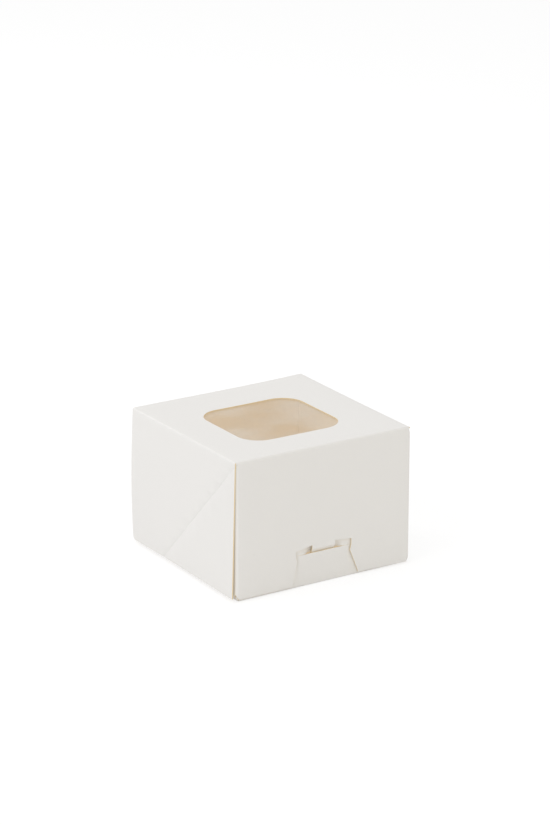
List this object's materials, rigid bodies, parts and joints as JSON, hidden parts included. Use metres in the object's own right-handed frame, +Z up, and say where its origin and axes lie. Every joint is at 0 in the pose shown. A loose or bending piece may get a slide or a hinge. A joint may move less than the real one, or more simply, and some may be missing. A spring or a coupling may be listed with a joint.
{
  "type": "donut box",
  "caption": "Small white folding carton for a donut: glued tray, hinged lid with a film window and a tongue that locks into a slit in the tray's front wall.",
  "frame": {"origin": "on the surface it stands on, under the middle of the closed box", "axes": "+X to the right seen from the front, +Y towards the lid's hinge at the back, +Z up; the front panel with the lock faces -Y"},
  "size_m": [0.1, 0.098, 0.071],
  "materials": {
    "white_board": "white coated face, cream uncoated inside, tan cut edges, satin",
    "clear_film": "thin clear film, glossy"
  },
  "bodies": {
    "base": {"tray": "white_board"},
    "cover": {"lid": "white_board", "window_film": "clear_film"}
  },
  "joints": [
    {"name": "lid_hinge", "type": "hinge", "parent": "base", "child": "cover", "pos_m": [0, 0.049, 0.071], "axis": [-1, 0, 0], "range_deg": [0, 135]}
  ]
}
